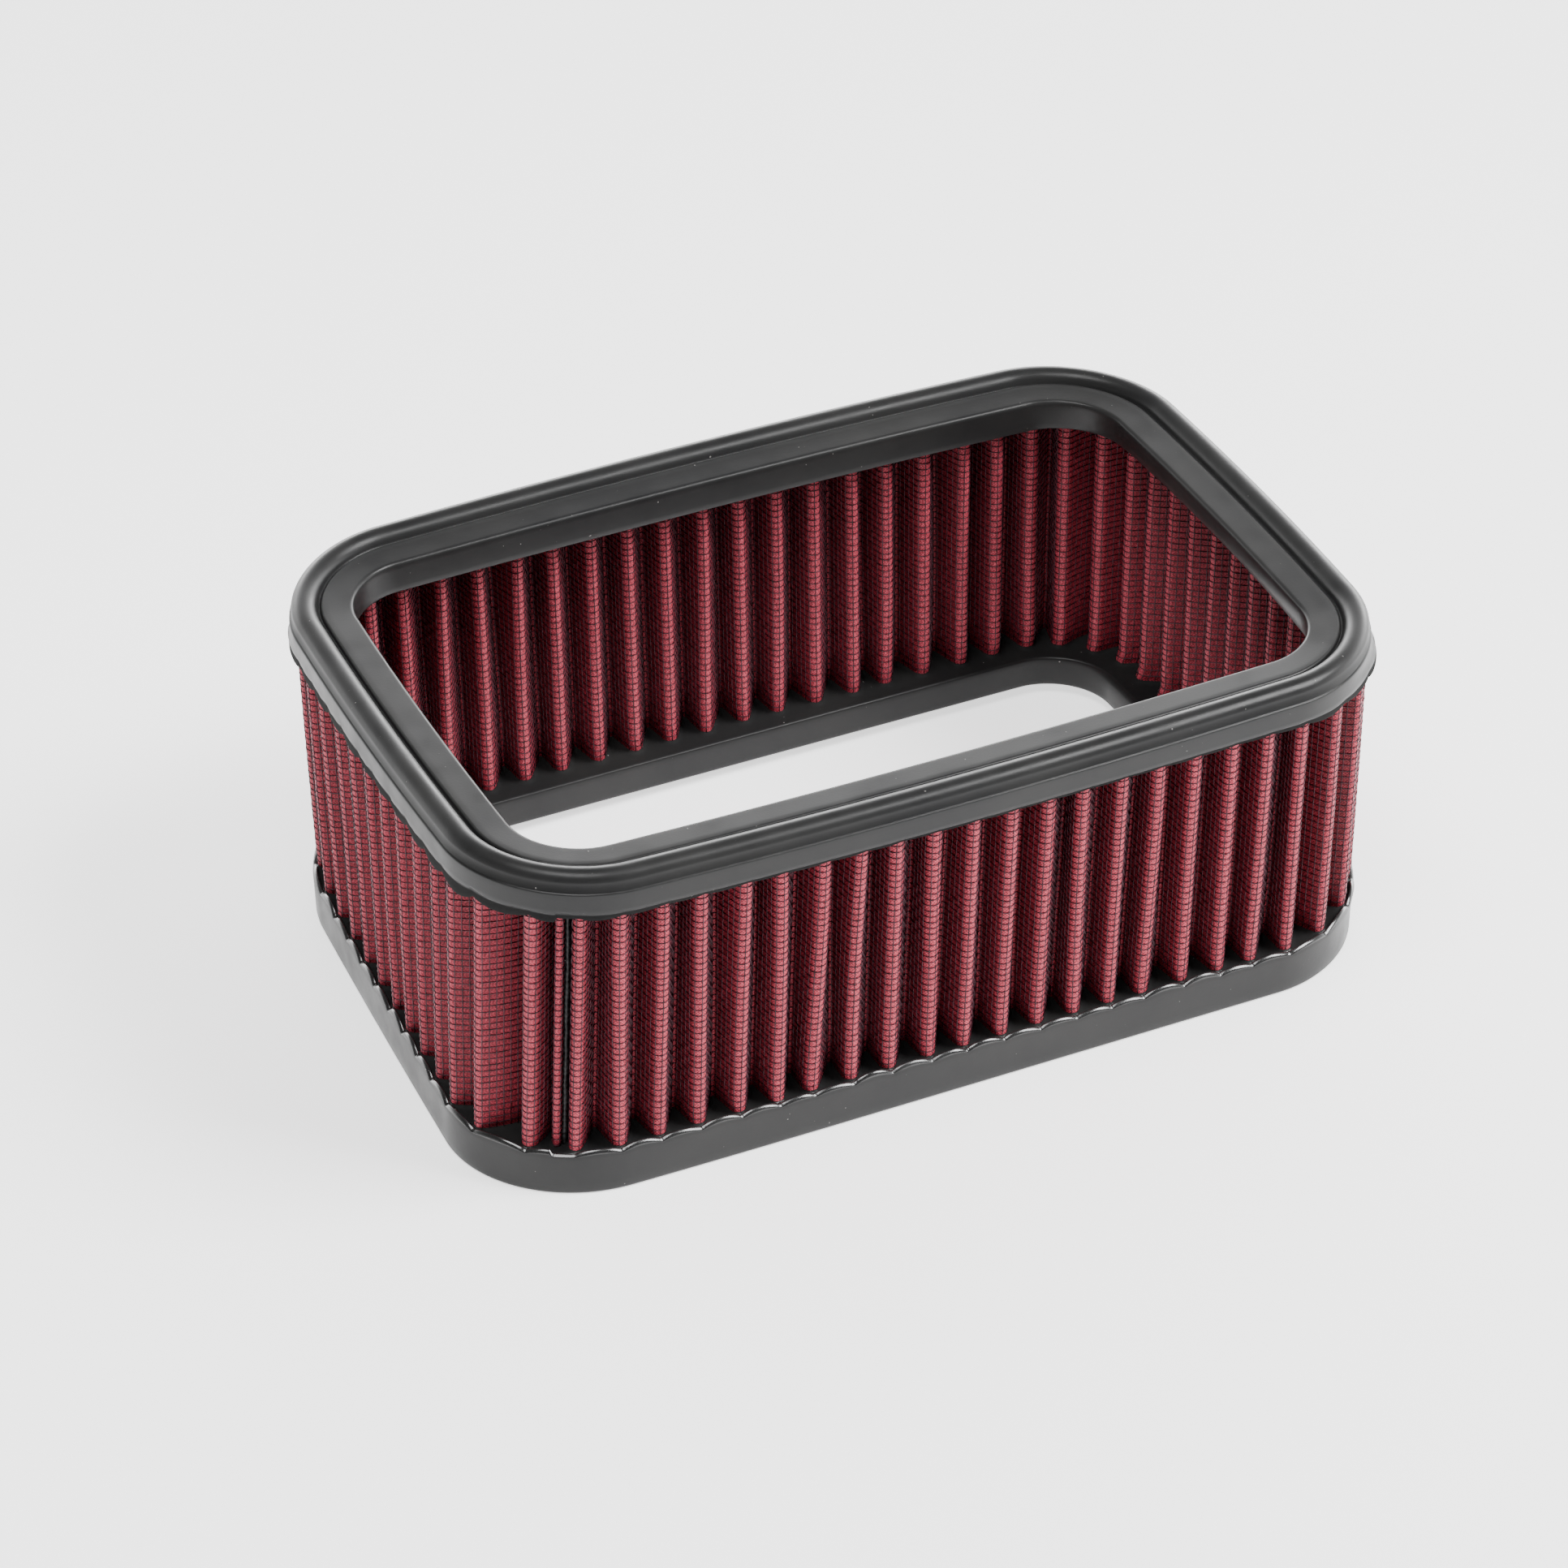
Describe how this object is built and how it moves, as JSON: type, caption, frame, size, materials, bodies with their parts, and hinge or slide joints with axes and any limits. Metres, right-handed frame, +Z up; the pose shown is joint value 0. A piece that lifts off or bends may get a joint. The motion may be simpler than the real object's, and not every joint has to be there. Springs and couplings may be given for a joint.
{
  "type": "air filter element",
  "caption": "Rounded rectangular air filter element: pleated oiled cotton gauze between wire screens, held in moulded rubber end caps, the upper one with a raised sealing bead.",
  "frame": {"origin": "centre of the outline on the plane that the lower rim rests on", "axes": "+X along the long sides, +Y along the short sides, +Z up from the lower cap to the upper cap"},
  "size_m": [0.1466, 0.0968, 0.056],
  "materials": {
    "cap_rubber": "satin moulded urethane",
    "screen_wire": "dark epoxy coating on woven aluminium wire",
    "oiled_gauze": "open woven cotton wetted with red filter oil",
    "seam_sealant": "glossy black sealant"
  },
  "bodies": {
    "root": {"top_end_cap": "cap_rubber", "bottom_end_cap": "cap_rubber", "outer_wire_screen": "screen_wire", "gauze_ply_1": "oiled_gauze", "gauze_ply_2": "oiled_gauze", "gauze_ply_3": "oiled_gauze", "gauze_ply_4": "oiled_gauze", "inner_wire_screen": "screen_wire", "pack_seam_bead": "seam_sealant"}
  },
  "joints": []
}
